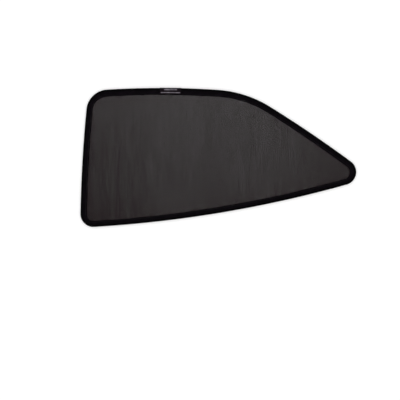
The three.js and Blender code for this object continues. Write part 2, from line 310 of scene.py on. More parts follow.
class Value:
    """A number in a material. Python's operators on it add Math nodes."""

    def __init__(self, graph: "Graph", socket: bpy.types.NodeSocket) -> None:
        """Wraps a socket of a graph."""
        self.graph = graph
        self.socket = socket

    def math(self, operation: str, *others: "Value | float") -> "Value":
        """Returns the result of a Math node on this value and others."""
        return self.graph.math(operation, self, *others)

    def __add__(self, other: "Value | float") -> "Value":
        """Returns the sum."""
        return self.math("ADD", other)

    __radd__ = __add__

    def __sub__(self, other: "Value | float") -> "Value":
        """Returns the difference."""
        return self.math("SUBTRACT", other)

    def __rsub__(self, other: float) -> "Value":
        """Returns the difference from a number on the left."""
        return self.graph.math("SUBTRACT", other, self)

    def __mul__(self, other: "Value | float") -> "Value":
        """Returns the product."""
        return self.math("MULTIPLY", other)

    __rmul__ = __mul__

    def sine(self) -> "Value":
        """Returns the sine of the value in radians."""
        return self.math("SINE")

    def size(self) -> "Value":
        """Returns the value without its sign."""
        return self.math("ABSOLUTE")


class Graph:
    """A node tree under construction, of a material or of the world."""

    def __init__(self, owner: bpy.types.Material | bpy.types.World) -> None:
        """Starts with the owner's tree empty.

        Args:
            owner: What the tree belongs to.
        """
        owner.use_nodes = True
        self.owner = owner
        self.tree = owner.node_tree
        self.tree.nodes.clear()

    @classmethod
    def material(cls, name: str) -> "Graph":
        """Returns the empty tree of a new material."""
        return cls(bpy.data.materials.new(name))

    def node(self, kind: str, settings: dict | None = None, sockets: dict | None = None) -> bpy.types.Node:
        """Adds one node.

        Args:
            kind: The node's type.
            settings: Its properties, set first.
            sockets: Numbers, colours, Values or sockets for its inputs, by name or number.

        Returns:
            The node.
        """
        made = self.tree.nodes.new(kind)
        for name, setting in (settings or {}).items():
            setattr(made, name, setting)
        for name, source in (sockets or {}).items():
            socket = source.socket if isinstance(source, Value) else source
            if isinstance(socket, bpy.types.NodeSocket):
                self.tree.links.new(socket, made.inputs[name])
            else:
                made.inputs[name].default_value = socket
        return made

    def math(self, operation: str, *values: "Value | float") -> Value:
        """Returns the result of a Math node on values."""
        made = self.node("ShaderNodeMath", {"operation": operation}, dict(enumerate(values)))
        return Value(self, made.outputs[0])

    def noise(self, scale: float, detail: float = 2.0, stretch: tuple = (1, 1, 1)) -> Value:
        """Adds noise over the object.

        Args:
            scale: How many grains fit in a metre.
            detail: How many finer layers it has.
            stretch: Scales its three axes.

        Returns:
            The noise, from 0 to 1.
        """
        place = self.node("ShaderNodeTexCoord").outputs["Object"]
        scaled = self.node("ShaderNodeVectorMath", {"operation": "MULTIPLY"}, {0: place, 1: stretch})
        sockets = {"Vector": scaled.outputs[0], "Scale": scale, "Detail": detail}
        return Value(self, self.node("ShaderNodeTexNoise", None, sockets).outputs["Fac"])

    def along_and_across(self) -> tuple[Value, Value]:
        """Reads the cloth's own map.

        Returns:
            How far along the cloth and how far across it a place is, in metres.
        """
        place = self.node("ShaderNodeUVMap", {"uv_map": "Cloth"}).outputs["UV"]
        parts = self.node("ShaderNodeSeparateXYZ", None, {0: place})
        return Value(self, parts.outputs[0]), Value(self, parts.outputs[1])

    def weave(self, distance: Value, pitch: float) -> Value:
        """Returns rounded ridges from 0 to 1 that follow one another at a pitch."""
        return (distance * (math.pi / pitch)).sine().size()

    def attribute(self, name: str) -> Value:
        """Returns a number kept on the mesh's points."""
        made = self.node("ShaderNodeAttribute", {"attribute_name": name, "attribute_type": "GEOMETRY"})
        return Value(self, made.outputs["Fac"])

    def mix(
        self, share: Value, first: tuple | bpy.types.NodeSocket, second: tuple | bpy.types.NodeSocket
    ) -> bpy.types.NodeSocket:
        """Adds a colour between two.

        Args:
            share: How much of the second colour there is, held from 0 to 1.
            first: The first colour.
            second: The second colour.

        Returns:
            The colour's socket.
        """
        settings = {"data_type": "RGBA", "clamp_factor": True}
        made = self.node("ShaderNodeMix", settings, {0: share, 6: first, 7: second})
        return made.outputs[2]

    def bump(self, height: Value, depth: float) -> bpy.types.NodeSocket:
        """Returns a normal bent by a height from 0 to 1 that stands for a depth in metres."""
        made = self.node("ShaderNodeBump", None, {"Strength": 1.0, "Distance": depth, "Height": height})
        return made.outputs["Normal"]

    def finish(self, **sockets: object) -> bpy.types.Material:
        """Adds the surface shader and the output.

        Args:
            sockets: The shader's inputs, with _ for each space of a name.

        Returns:
            The finished material.
        """
        inputs = {name.replace("_", " "): value for name, value in sockets.items()}
        surface = self.node("ShaderNodeBsdfPrincipled", None, inputs)
        self.node("ShaderNodeOutputMaterial", None, {"Surface": surface.outputs[0]})
        return self.owner

    def seen(self) -> Value:
        """Tells the camera's rays, and those that a mirror or glass sends on, from other light.

        Returns:
            1 for such rays, and 0 for other light.
        """
        rays = self.node("ShaderNodeLightPath").outputs
        names = ("Is Glossy Ray", "Is Transmission Ray", "Is Camera Ray")
        glossy, through, camera = [Value(self, rays[name]) for name in names]
        return glossy.math("MAXIMUM", through).math("MAXIMUM", camera)


def opaque(colour: tuple) -> tuple:
    """Returns a colour of three numbers with full alpha."""
    return (*colour, 1.0)


WHITE = opaque((1, 1, 1))


@dataclass(frozen=True)
class TapeFinish:
    """Matt black ribbed polyester tape: painted shade darkens the bead, painted light the flat hem and rib
    crests.
    """

    # Painted shade: the bead's colour is darker to stand for the shade on its flanks; the flat hem's is
    # painted paler.
    bead: tuple = (0.0004, 0.0004, 0.0005)
    flat: tuple = (0.0034, 0.0019, 0.0037)
    # Paler random patches on the flat hem, part of the painted light there.
    painted_light_patch_colour: tuple = (0.0062, 0.0038, 0.0066)
    rib: float = 0.75 * MM
    cross_thread: float = 0.4 * MM
    fibre_grain: float = 5200.0
    patch_grain: float = 90.0
    patch_level: float = 0.48
    patch_contrast: float = 2.2
    rib_height: float = 0.6
    thread_height: float = 0.25
    fibre_height: float = 0.3
    thread_tint: float = 0.4
    weave_depth: float = 0.06 * MM
    roughness: float = 0.75
    uneven_roughness: float = 0.2
    reflection: float = 0.03

    def make(self) -> bpy.types.Material:
        """Makes the tape's material.

        Returns:
            The material.
        """
        graph = Graph.material("black_edge_tape")
        along, across = graph.along_and_across()
        ribs = graph.weave(along, self.rib)
        threads = graph.weave(across, self.cross_thread)
        fibres = graph.noise(self.fibre_grain, 3)
        patches = graph.noise(self.patch_grain, 4)
        flatness = graph.attribute("flatness")
        height = ribs * self.rib_height + threads * self.thread_height + fibres * self.fibre_height
        # Painted light and shade: the colour runs from the shaded bead to the paler flat hem, palest on rib
        # and thread crests.
        raised = flatness * (ribs * ribs) * (1 - self.thread_tint + threads * self.thread_tint)
        # Random paler patches on the flat hem only, part of the painted light there.
        painted_light_patches = (patches - self.patch_level) * self.patch_contrast * flatness
        ground = graph.mix(raised, opaque(self.bead), opaque(self.flat))
        return graph.finish(
            Base_Color=graph.mix(painted_light_patches, ground, opaque(self.painted_light_patch_colour)),
            Roughness=self.roughness + (fibres - 0.5) * self.uneven_roughness,
            Specular_IOR_Level=self.reflection,
            Normal=graph.bump(height, self.weave_depth),
        )


@dataclass(frozen=True)
class YarnFinish:
    """Black knitted yarn, in places a touch paler, whose warm red tint is painted light shining through it.
    """

    # Painted light: the red in both colours stands for light shining through the thin yarn.
    dark: tuple = (0.0078, 0.0027, 0.0036)
    pale: tuple = (0.0125, 0.005, 0.0065)
    twist_grain: float = 3800.0
    tint_grain: float = 30.0
    twist_depth: float = 0.05 * MM
    roughness: float = 0.65
    uneven_roughness: float = 0.3
    reflection: float = 0.04

    def make(self) -> bpy.types.Material:
        """Makes the mesh cloth's material.

        Returns:
            The material.
        """
        graph = Graph.material("black_mesh_yarn")
        twist = graph.noise(self.twist_grain, 2, (1, 0.35, 1))
        tint = graph.noise(self.tint_grain, 3, (1, 0.25, 1))
        return graph.finish(
            Base_Color=graph.mix(tint, opaque(self.dark), opaque(self.pale)),
            Roughness=self.roughness + (twist - 0.5) * self.uneven_roughness,
            Specular_IOR_Level=self.reflection,
            Normal=graph.bump(twist, self.twist_depth),
        )


@dataclass(frozen=True)
class ThreadFinish:
    """Black polyester sewing thread, its plies twisted, with a soft shine and a painted highlight on each
    ply's crest.
    """

    dark: tuple = (0.004, 0.0036, 0.0048)
    light: tuple = (0.016, 0.0145, 0.018)
    ply: float = 0.8 * MM
    ply_depth: float = 0.08 * MM
    roughness: float = 0.45
    groove_roughness: float = 0.15
    reflection: float = 0.2

    def make(self) -> bpy.types.Material:
        """Makes the thread's material.

        Returns:
            The material.
        """
        graph = Graph.material("black_sewing_thread")
        along, around = graph.along_and_across()
        # Painted highlight and shade: the colour follows the twist, light on the ply crests and dark in the
        # grooves.
        twist = (along * (math.tau / self.ply) + around * math.tau).sine() * 0.5 + 0.5
        return graph.finish(
            Base_Color=graph.mix(twist, opaque(self.dark), opaque(self.light)),
            Roughness=self.roughness + (1 - twist) * self.groove_roughness,
            Specular_IOR_Level=self.reflection,
            Normal=graph.bump(twist, self.ply_depth),
        )


@dataclass(frozen=True)
class LabelFinish:
    """Black woven satin with two plain grey stripes."""

    ground: tuple = (0.0042, 0.0018, 0.0038)
    stripe_dark: tuple = (0.04, 0.034, 0.042)
    stripe_light: tuple = (0.21, 0.19, 0.215)
    warp: float = 0.22 * MM
    weft: float = 0.34 * MM
    float_grain: float = 700.0
    blotch_grain: float = 120.0
    float_contrast: float = 0.9
    blotch_contrast: float = 2.2
    shade_drop: float = 1.0
    weave_depth: float = 0.05 * MM
    roughness: float = 0.55
    groove_roughness: float = 0.15
    reflection: float = 0.05

    def make(self) -> bpy.types.Material:
        """Makes the label's material.

        Returns:
            The material.
        """
        graph = Graph.material("woven_label")
        along, across = graph.along_and_across()
        warp = graph.weave(along, self.warp)
        weft = graph.weave(across, self.weft)
        floats = graph.noise(self.float_grain, 2, (0.35, 1, 1))
        blotches = graph.noise(self.blotch_grain, 2)
        shade = floats * self.float_contrast + blotches * self.blotch_contrast - self.shade_drop
        stripe = graph.mix(shade, opaque(self.stripe_dark), opaque(self.stripe_light))
        return graph.finish(
            Base_Color=graph.mix(graph.attribute("stripe"), opaque(self.ground), stripe),
            Roughness=self.roughness + (1 - weft) * self.groove_roughness,
            Specular_IOR_Level=self.reflection,
            Normal=graph.bump(warp * 0.5 + weft * 0.5, self.weave_depth),
        )


@dataclass(frozen=True)
class MetalFinish:
    """A metal with fine grain, drawn for the wire or plated for the magnets."""

    name: str
    dark: tuple
    light: tuple
    roughness: float
    grain: float
    grains_a_stain: float = 12.0
    grain_depth: float = 0.01 * MM
    uneven_roughness: float = 0.2

    def make(self) -> bpy.types.Material:
        """Makes the metal's material.

        Returns:
            The material.
        """
        graph = Graph.material(self.name)
        grain = graph.noise(self.grain, 4)
        stains = graph.noise(self.grain / self.grains_a_stain, 3)
        return graph.finish(
            Base_Color=graph.mix(stains, opaque(self.dark), opaque(self.light)),
            Metallic=1.0,
            Roughness=self.roughness + (grain - 0.5) * self.uneven_roughness,
            Normal=graph.bump(grain, self.grain_depth),
        )


WIRE_STEEL = MetalFinish("spring_steel", (0.05, 0.05, 0.055), (0.11, 0.105, 0.11), 0.42, 2600)
MAGNET_NICKEL = MetalFinish("nickel_plate", (0.56, 0.55, 0.53), (0.68, 0.67, 0.65), 0.24, 1800)


@dataclass(frozen=True)
class FloorFinish:
    """A plain pale floor that reads as white paper to the camera and keeps the shade's shadow."""

    pale: float = 0.97
    lift: float = 0.08

    def make(self) -> bpy.types.Material:
        """Makes the floor's material.

        Returns:
            The material.
        """
        graph = Graph.material("white_floor")
        paper = graph.node("ShaderNodeBsdfDiffuse", None, {"Color": opaque((self.pale,) * 3)}).outputs[0]
        glow = graph.node("ShaderNodeEmission", None, {"Color": WHITE, "Strength": self.lift}).outputs[0]
        lifted = graph.node("ShaderNodeAddShader", None, {0: paper, 1: glow}).outputs[0]
        shown = graph.node("ShaderNodeMixShader", None, {0: graph.seen(), 1: paper, 2: lifted}).outputs[0]
        graph.node("ShaderNodeOutputMaterial", None, {"Surface": shown})
        return graph.owner


def add_piece(name: str, points: np.ndarray, faces: list, material: bpy.types.Material) -> bpy.types.Object:
    """Makes a mesh object of the shade.

    Args:
        name: The piece's name.
        points: Its points, in metres.
        faces: Its faces, as lists of point numbers.
        material: What it is finished in.

    Returns:
        The object, with smooth shading.
    """
    mesh = bpy.data.meshes.new(name)
    mesh.from_pydata(points.reshape(-1, 3).tolist(), [], faces)
    mesh.materials.append(material)
    mesh.shade_smooth()
    made = bpy.data.objects.new(name, mesh)
    bpy.context.scene.collection.objects.link(made)
    return made


def set_cloth_map(piece: bpy.types.Object, corners: np.ndarray) -> None:
    """Gives a piece's face corners their place on the cloth, as along and across in metres."""
    layer = piece.data.uv_layers.new(name="Cloth")
    layer.data.foreach_set("uv", np.asarray(corners, np.float32).ravel())


def set_point_value(piece: bpy.types.Object, name: str, values: np.ndarray) -> None:
    """Keeps a number on each point of a piece, for its material."""
    made = piece.data.attributes.new(name, "FLOAT", "POINT")
    made.data.foreach_set("value", np.asarray(values, np.float32).ravel())


def sweep_piece(
    name: str, rows: np.ndarray, along: np.ndarray, across: np.ndarray, material: bpy.types.Material
) -> bpy.types.Object:
    """Skins closed anticlockwise sections that follow one another clockwise, and caps the two ends.

    Args:
        name: The piece's name.
        rows: The sections' points, section by point by axis.
        along: Each section's place on the cloth.
        across: Each point's place on the cloth, and then the place of the first point again.
        material: What it is finished in.

    Returns:
        The piece.
    """
    count, ring = rows.shape[:2]
    k, i = np.meshgrid(np.arange(count - 1), np.arange(ring), indexing="ij")
    j = (i + 1) % ring
    quads = np.stack([k * ring + i, (k + 1) * ring + i, (k + 1) * ring + j, k * ring + j], axis=-1)
    last = (count - 1) * ring
    caps = [list(range(ring)), list(range(last + ring - 1, last - 1, -1))]
    piece = add_piece(name, rows, quads.reshape(-1, 4).tolist() + caps, material)
    here = np.stack([along[k], across[i]], axis=-1)
    there = np.stack([along[k + 1], across[i]], axis=-1)
    there_next = np.stack([along[k + 1], across[i + 1]], axis=-1)
    here_next = np.stack([along[k], across[i + 1]], axis=-1)
    sides = np.stack([here, there, there_next, here_next], axis=2).reshape(-1, 2)
    ends = [(along[0], across[n]) for n in caps[0]] + [(along[-1], across[n - last]) for n in caps[1]]
    set_cloth_map(piece, np.concatenate([sides, np.array(ends)]))
    return piece


def developed(u: np.ndarray, z: np.ndarray) -> np.ndarray:
    """Returns each point's place along a line, measured from its first point."""
    return np.concatenate([[0], np.cumsum(np.hypot(np.diff(u), np.diff(z)))])


def settle(piece: bpy.types.Object, slot: str, *nodes: str) -> None:
    """Sets a finished piece on the body and reports it.

    Args:
        piece: The piece.
        slot: The name of its finish; not used.
        nodes: The solids that it stands for, which are then hidden.
    """
    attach(piece, BODY)
    if nodes:
        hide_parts(*nodes)
    LOG.info("%s: %d faces", piece.name, len(piece.data.polygons))


@dataclass
class EdgeTape:
    """The tape folded round the wire as a bead and sewn down as a flat hem on both faces.

    Its section starts at the bead's lowest point, runs along the back to the hem's edge, returns inside
    the fold round the wire, and comes back over the front. cut_width is known once it is built.
    """

    outline: Outline
    finish: TapeFinish = TapeFinish()
    thickness: float = 0.9 * MM
    bead_radius: float = 2.95 * MM
    bead_steps: int = 13
    channel_radius: float = 2.05 * MM
    channel_steps: int = 5
    leaves_bead_at: float = math.radians(78)
    lowest_at: float = 1.5 * math.pi
    hem_height: float = 2.9 * MM
    hem_past_seam: float = 2.6 * MM
    hem_wander: tuple = (0.22 * MM, 0.4 * MM)
    hem_wander_lengths: tuple = (7 * MM, 19 * MM)
    hem_edge_height: float = 2.4 * MM
    hem_edge_round: float = 0.3 * MM
    hem_edge_drop: float = 0.04 * MM
    back_edge_round: float = 0.25 * MM
    back_edge_height: float = 0.3 * MM
    fold_from_edge: float = 0.2 * MM
    fold_from_seam: float = 2 * MM
    pocket_starts: float = 7 * MM
    pocket_from_seam: float = 1.2 * MM
    end_gap: float = 0.06 * MM
    stitch: float = 4 * MM
    steps_a_stitch: int = 4
    groove: tuple = (0.95 * MM, 0.4 * MM, 0.0, -0.4 * MM, -0.95 * MM)
    front_valley: float = 0.42 * MM
    back_valley: float = 0.3 * MM
    valley_width: float = 0.6 * MM
    valley_swing: float = 0.4
    pillow_from_seam: float = 1.4 * MM
    pillow_width: float = 0.7 * MM
    pillow_height: float = 0.07 * MM
    slack: float = 0.25 * MM
    flap_steps: int = 8
    magnet_half: float = 15 * MM
    magnet_ease: float = 6 * MM
    magnet_near: float = 40 * MM
    magnet_inset: float = 9 * MM
    hump_height: float = 0.5 * MM
    hump_width: float = 2.6 * MM
    hump_ease: float = 1.5 * MM
    ripple_heights: tuple = (0.1 * MM, 0.08 * MM)
    ripple_lengths: tuple = (11 * MM, 5 * MM)
    ripple_lean: float = 0.8
    ripples_from: float = 4 * MM
    ripples_over: float = 5 * MM
    gather_depth: float = 0.36 * MM
    gather_length: float = 5.6 * MM
    gather_wander: float = 2.5
    gather_wander_length: float = 14 * MM
    gather_lean: float = 0.35
    gathers_from: float = 7 * MM
    hem_ripple_share: float = 0.7
    back_ripple_share: float = 0.5
    flat_from: float = 4.5 * MM
    flat_over: float = 4 * MM
    cut_width: float = field(init=False, default=0.0)

    def stitches(self) -> int:
        """Returns how many stitches go round the hem."""
        return round(self.outline.round_it() / self.stitch)

    def pitch(self) -> float:
        """Returns one stitch's length."""
        return self.outline.round_it() / self.stitches()

    def groove_starts(self, stations: Stations) -> np.ndarray:
        """Returns how far in the seam's groove starts at each station, as a column."""
        return stations.seam[:, None] - self.groove[0]

    def magnets_at(self, stations: Stations) -> np.ndarray:
        """Finds the magnets under the outline.

        Args:
            stations: Where to look.

        Returns:
            How much a magnet lies under each station, from 0 to 1.
        """
        under = np.zeros(len(stations.distance))
        along = np.stack([stations.inward[:, 1], -stations.inward[:, 0]], axis=1)
        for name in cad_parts:
            if name.startswith("magnet_"):
                low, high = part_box(name)
                middle = np.array([(low[0] + high[0]) / 2, (low[1] + high[1]) / 2])
                off = np.abs(((middle - stations.point) * along).sum(axis=1))
                near = np.linalg.norm(middle - stations.point, axis=1) < self.magnet_near
                under = np.maximum(under, near * smooth_step((self.magnet_half - off) / self.magnet_ease))
        return under

    def crown(self) -> tuple[float, float]:
        """Returns where the front flap leaves the bead, as distance in and height."""
        angle = self.leaves_bead_at
        return self.bead_radius * (1 + math.cos(angle)), self.bead_radius * (1 + math.sin(angle))

    def front_height(self, stations: Stations, u: np.ndarray) -> np.ndarray:
        """Works out the front flap's height between the bead and the seam, with the magnets' humps.

        Args:
            stations: The places along the outline.
            u: Distances in from it, a row for each station.

        Returns:
            The heights, in the same layout.
        """
        crown_u, crown_z = self.crown()
        end = self.groove_starts(stations)
        share = (u - crown_u) / (end - crown_u)
        taut = crown_z + (self.hem_height - crown_z) * share
        slack = self.slack * np.sin(np.clip(share, 0, 1) * math.pi)
        magnets = self.magnets_at(stations)[:, None]
        hump = self.hump_height * magnets * bell(u - self.magnet_inset, self.hump_width)
        return taut + slack + hump * smooth_step((end - u) / self.hump_ease)

    def ripples(self, stations: Stations, u: np.ndarray) -> np.ndarray:
        """Works out how far the sewn cloth rises and falls along its length.

        Args:
            stations: The places along the outline.
            u: Distances in from it, a row for each station.

        Returns:
            The rises, in the same layout.
        """
        s = stations.distance[:, None]
        hem = stations.seam[:, None] + self.hem_past_seam
        long_rise, short_rise = self.ripple_heights
        long_length, short_length = self.ripple_lengths
        slow = long_rise * slow_noise(s, long_length, Line.LONG_RIPPLE)
        slow = slow + short_rise * slow_noise(s + u * self.ripple_lean, short_length, Line.SHORT_RIPPLE)
        lean = s + u * self.gather_lean
        wander = self.gather_wander * slow_noise(s, self.gather_wander_length, Line.GATHERS)
        gathers = np.sin(math.tau * lean / self.gather_length + wander)
        share = smooth_step((u - self.gathers_from) / (hem - self.gathers_from))
        depth = self.gather_depth * stations.tightness[:, None] * share
        return slow * smooth_step((u - self.ripples_from) / self.ripples_over) + depth * gathers

    def valley(self, stations: Stations, u: np.ndarray, depth: float) -> np.ndarray:
        """Works out how far the seam pulls the cloth in.

        Args:
            stations: The places along the outline.
            u: Distances in from it, a row for each station.
            depth: How far it pulls at a needle hole.

        Returns:
            The pull, most at each needle hole, with a pillow beside it.
        """
        phase = np.cos(math.tau * stations.distance / self.pitch())[:, None]
        off = u - stations.seam[:, None]
        pillow = bell(np.abs(off) - self.pillow_from_seam, self.pillow_width)
        pull = depth * bell(off, self.valley_width) * (1 - self.valley_swing + self.valley_swing * phase)
        return pull + self.pillow_height * pillow * phase

    def build(self) -> bpy.types.Object:
        """Makes the tape from one end, at the label's middle, round to the other.

        Returns:
            The piece.
        """
        steps = self.stitches() * self.steps_a_stitch
        total = self.outline.round_it()
        distance = np.linspace(self.end_gap / 2, total - self.end_gap / 2, steps)
        stations = self.outline.at(distance)
        hem = self._hem_edge(stations)
        parts = [self._back(stations, hem), self._inside(stations, hem), self._front(stations, hem)]
        u = np.concatenate([part[0] for part in parts], axis=1)
        z = np.concatenate([part[1] for part in parts], axis=1)
        across = developed(np.append(u[0], u[0, 0]), np.append(z[0], z[0, 0]))
        self.cut_width = across[-1] / 2 - self.thickness
        LOG.info("edge tape cut to %.4f by %.4f m", self.cut_width, total)
        piece = sweep_piece("tape_round_edge", stations.place(u, z), distance, across, self.finish.make())
        # Flatness leads the tape's painted light and shade: the flat hem is painted paler than the bead.
        set_point_value(piece, "flatness", smooth_step((u - self.flat_from) / self.flat_over))
        settle(piece, "tape", "edge_tape")
        return piece

    def _hem_edge(self, stations: Stations) -> np.ndarray:
        """Works out the hem's inner edge, which wanders a little.

        Args:
            stations: The places along the outline.

        Returns:
            How far in it is at each, as a column.
        """
        short, long = self.hem_wander
        short_length, long_length = self.hem_wander_lengths
        wander = short * slow_noise(stations.distance, short_length, Line.HEM_SHORT)
        wander = wander + long * slow_noise(stations.distance, long_length, Line.HEM_LONG)
        return stations.seam[:, None] + self.hem_past_seam + wander[:, None]

    def _back(self, stations: Stations, hem: np.ndarray) -> tuple[np.ndarray, np.ndarray]:
        """Lays the section's back face, from the bead to the hem's edge.

        Args:
            stations: The places along the outline.
            hem: How far in the hem's edge is.

        Returns:
            The points' distances in and heights, a row for each station.
        """
        seam = stations.seam[:, None]
        lowest = np.full_like(seam, self.bead_radius)
        bed = self._between(lowest, self.groove_starts(stations), 2)
        u = np.concatenate([lowest, bed, seam - np.array(self.groove), hem - self.back_edge_round], axis=1)
        z = np.clip(self.valley(stations, u, self.back_valley), 0, None)
        z += np.clip(self.ripples(stations, u), 0, None) * self.back_ripple_share
        z[:, 0] = 0
        return u, z

    def _inside(self, stations: Stations, hem: np.ndarray) -> tuple[np.ndarray, np.ndarray]:
        """Lays the section's inside: along the back, round the wire and back under the front.

        Args:
            stations: The places along the outline.
            hem: How far in the hem's edge is.

        Returns:
            The points' distances in and heights, a row for each station.
        """
        seam = stations.seam[:, None]
        floor_u = np.concatenate([hem, hem - self.fold_from_edge, seam - self.fold_from_seam], axis=1)
        floor_z = np.array([self.back_edge_height, self.thickness, self.thickness])
        round_u, round_z = self._round_wire(
            self.channel_radius, self.lowest_at, self.leaves_bead_at, self.channel_steps, seam
        )
        starts = np.full_like(seam, self.pocket_starts)
        roof_u = np.concatenate([starts, seam - self.pocket_from_seam, hem - self.fold_from_edge], axis=1)
        roof_z = np.full_like(roof_u, self.hem_height - self.thickness)
        roof_z[:, 0] = self.front_height(stations, roof_u)[:, 0] - self.thickness
        u = np.concatenate([floor_u, round_u, roof_u], axis=1)
        z = np.concatenate([np.broadcast_to(floor_z, floor_u.shape), round_z, roof_z], axis=1)
        return u, z

    def _front(self, stations: Stations, hem: np.ndarray) -> tuple[np.ndarray, np.ndarray]:
        """Lays the section's front face, from the hem's edge over the flap and round the bead.

        Args:
            stations: The places along the outline.
            hem: How far in the hem's edge is.

        Returns:
            The points' distances in and heights, a row for each station.
        """
        seam = stations.seam[:, None]
        crown_u, _ = self.crown()
        hem_u = np.concatenate([hem, hem - self.hem_edge_round], axis=1)
        hem_z = np.array([self.hem_edge_height, self.hem_height - self.hem_edge_drop])
        hem_z = hem_z + self.ripples(stations, hem_u) * self.hem_ripple_share
        groove_u = seam + np.array(self.groove)
        groove_z = self.hem_height - self.valley(stations, groove_u, self.front_valley)
        groove_z = groove_z + self.ripples(stations, groove_u) * self.hem_ripple_share
        leaves = np.full_like(seam, crown_u)
        flap_u = self._between(leaves, self.groove_starts(stations), self.flap_steps)[:, ::-1]
        flap_z = self.front_height(stations, flap_u) + self.ripples(stations, flap_u)
        bead_u, bead_z = self._round_wire(
            self.bead_radius, self.leaves_bead_at, self.lowest_at, self.bead_steps, seam
        )
        u = np.concatenate([hem_u, groove_u, flap_u, bead_u[:, :-1]], axis=1)
        z = np.concatenate([hem_z, groove_z, flap_z, bead_z[:, :-1]], axis=1)
        return u, z

    @staticmethod
    def _between(first: np.ndarray, last: np.ndarray, count: int) -> np.ndarray:
        """Returns count columns evenly between two columns, without them."""
        share = np.arange(1, count + 1) / (count + 1)
        return first + (last - first) * share

    def _round_wire(
        self, radius: float, start: float, end: float, steps: int, column: np.ndarray
    ) -> tuple[np.ndarray, np.ndarray]:
        """Lays an arc about the wire's middle, the same at each station.

        Args:
            radius: The arc's radius.
            start: The angle at which it starts.
            end: The angle at which it ends.
            steps: How many steps it takes.
            column: Any column with a number for each station.

        Returns:
            The points' distances in and heights, a row for each station.
        """
        angle = np.linspace(start, end, steps + 1)
        ones = np.ones_like(column)
        u = self.bead_radius + radius * np.cos(angle)
        z = self.bead_radius + radius * np.sin(angle)
        return ones * u, ones * z


@dataclass
class Stitching:
    """A row of separate stitches of round thread, each dipping into the cloth at both ends."""

    finish: ThreadFinish = ThreadFinish()
    half_width: float = 0.27 * MM
    half_height: float = 0.19 * MM
    sides: int = 6
    dip: float = 0.3 * MM
    ring_places: tuple = (0, 0.14, 0.5, 0.86, 1)
    ring_sizes: tuple = (0.5, 0.95, 1, 0.95, 0.5)
    ring_dips: tuple = (1, 0.35, 0, 0.35, 1)

    def build(self, name: str, starts: np.ndarray, ends: np.ndarray, up: np.ndarray) -> bpy.types.Object:
        """Makes the stitches.

        Args:
            name: The piece's name.
            starts: Where each stitch goes into the cloth, at the height of its middle.
            ends: Where it comes to, likewise.
            up: The way out of the cloth at each.

        Returns:
            The piece.
        """
        places, sizes = np.array(self.ring_places), np.array(self.ring_sizes)
        sinks = np.array(self.ring_dips) * self.dip
        length = np.linalg.norm(ends - starts, axis=1, keepdims=True)
        ahead = (ends - starts) / length
        sideways = np.cross(up, ahead)
        middle = starts[:, None] + (ends - starts)[:, None] * places[None, :, None]
        middle = middle - up[:, None] * sinks[None, :, None]
        turn = np.arange(self.sides) * math.tau / self.sides
        wide = (np.cos(turn) * self.half_width)[None, None, :, None] * sizes[None, :, None, None]
        high = (np.sin(turn) * self.half_height)[None, None, :, None] * sizes[None, :, None, None]
        points = middle[:, :, None] + sideways[:, None, None] * wide + up[:, None, None] * high
        faces, corners = self._faces(len(starts), float(length.mean()))
        piece = add_piece(name, points, faces, self.finish.make())
        set_cloth_map(piece, corners)
        return piece

    def _faces(self, count: int, length: float) -> tuple[list, list]:
        """Lists the stitches' faces.

        Args:
            count: How many stitches there are.
            length: One stitch's length.

        Returns:
            The faces, and their corners' places on the thread.
        """
        rings, sides = len(self.ring_places), self.sides
        one, corners = [], []
        for r in range(rings - 1):
            for s in range(sides):
                t = (s + 1) % sides
                one.append([r * sides + s, r * sides + t, (r + 1) * sides + t, (r + 1) * sides + s])
                near, far = self.ring_places[r] * length, self.ring_places[r + 1] * length
                here, there = s / sides, (s + 1) / sides
                corners += [(near, here), (near, there), (far, there), (far, here)]
        one.append(list(range(sides - 1, -1, -1)))
        one.append([(rings - 1) * sides + s for s in range(sides)])
        corners += [(0, s / sides) for s in range(sides - 1, -1, -1)]
        corners += [(length, s / sides) for s in range(sides)]
        size = rings * sides
        return [[n + k * size for n in face] for k in range(count) for face in one], corners * count


@dataclass
class HemSeam:
    """The lockstitch seam along the hem's inner edge: a row of stitches on each face."""

    outline: Outline
    tape: EdgeTape
    needle_hole: float = 0.32 * MM
    front_sink: float = 0.02 * MM
    front_dip: float = 0.34 * MM
    back_height: float = 0.2 * MM
    back_dip: float = 0.24 * MM

    def build(self, side: Side) -> bpy.types.Object:
        """Makes one face's row of stitches.

        Args:
            side: The face that they lie on.

        Returns:
            The piece.
        """
        front = side is Side.FRONT
        pitch = self.tape.pitch()
        holes = np.arange(self.tape.stitches()) * pitch
        height = self.tape.hem_height - self.front_sink if front else self.back_height
        starts = self._on_seam(holes + self.needle_hole, height, front)
        ends = self._on_seam(holes + pitch - self.needle_hole, height, front)
        up = np.zeros((len(holes), 3))
        up[:, 2] = side.value
        stitching = Stitching(dip=self.front_dip if front else self.back_dip)
        name = "front_stitches" if front else "back_stitches"
        piece = stitching.build(name, starts, ends, up)
        settle(piece, "thread", "needle_thread" if front else "bobbin_thread")
        return piece

    def _on_seam(self, distance: np.ndarray, height: float, front: bool) -> np.ndarray:
        """Finds points on the seam line.

        Args:
            distance: How far along the outline they are.
            height: Their height over the ground.
            front: Whether they are lifted with the front's gathers.

        Returns:
            The points.
        """
        stations = self.outline.at(distance)
        seam = stations.seam[:, None]
        share = self.tape.hem_ripple_share if front else 0.0
        lift = self.tape.ripples(stations, seam) * share
        return stations.place(seam, height + lift)[:, 0]


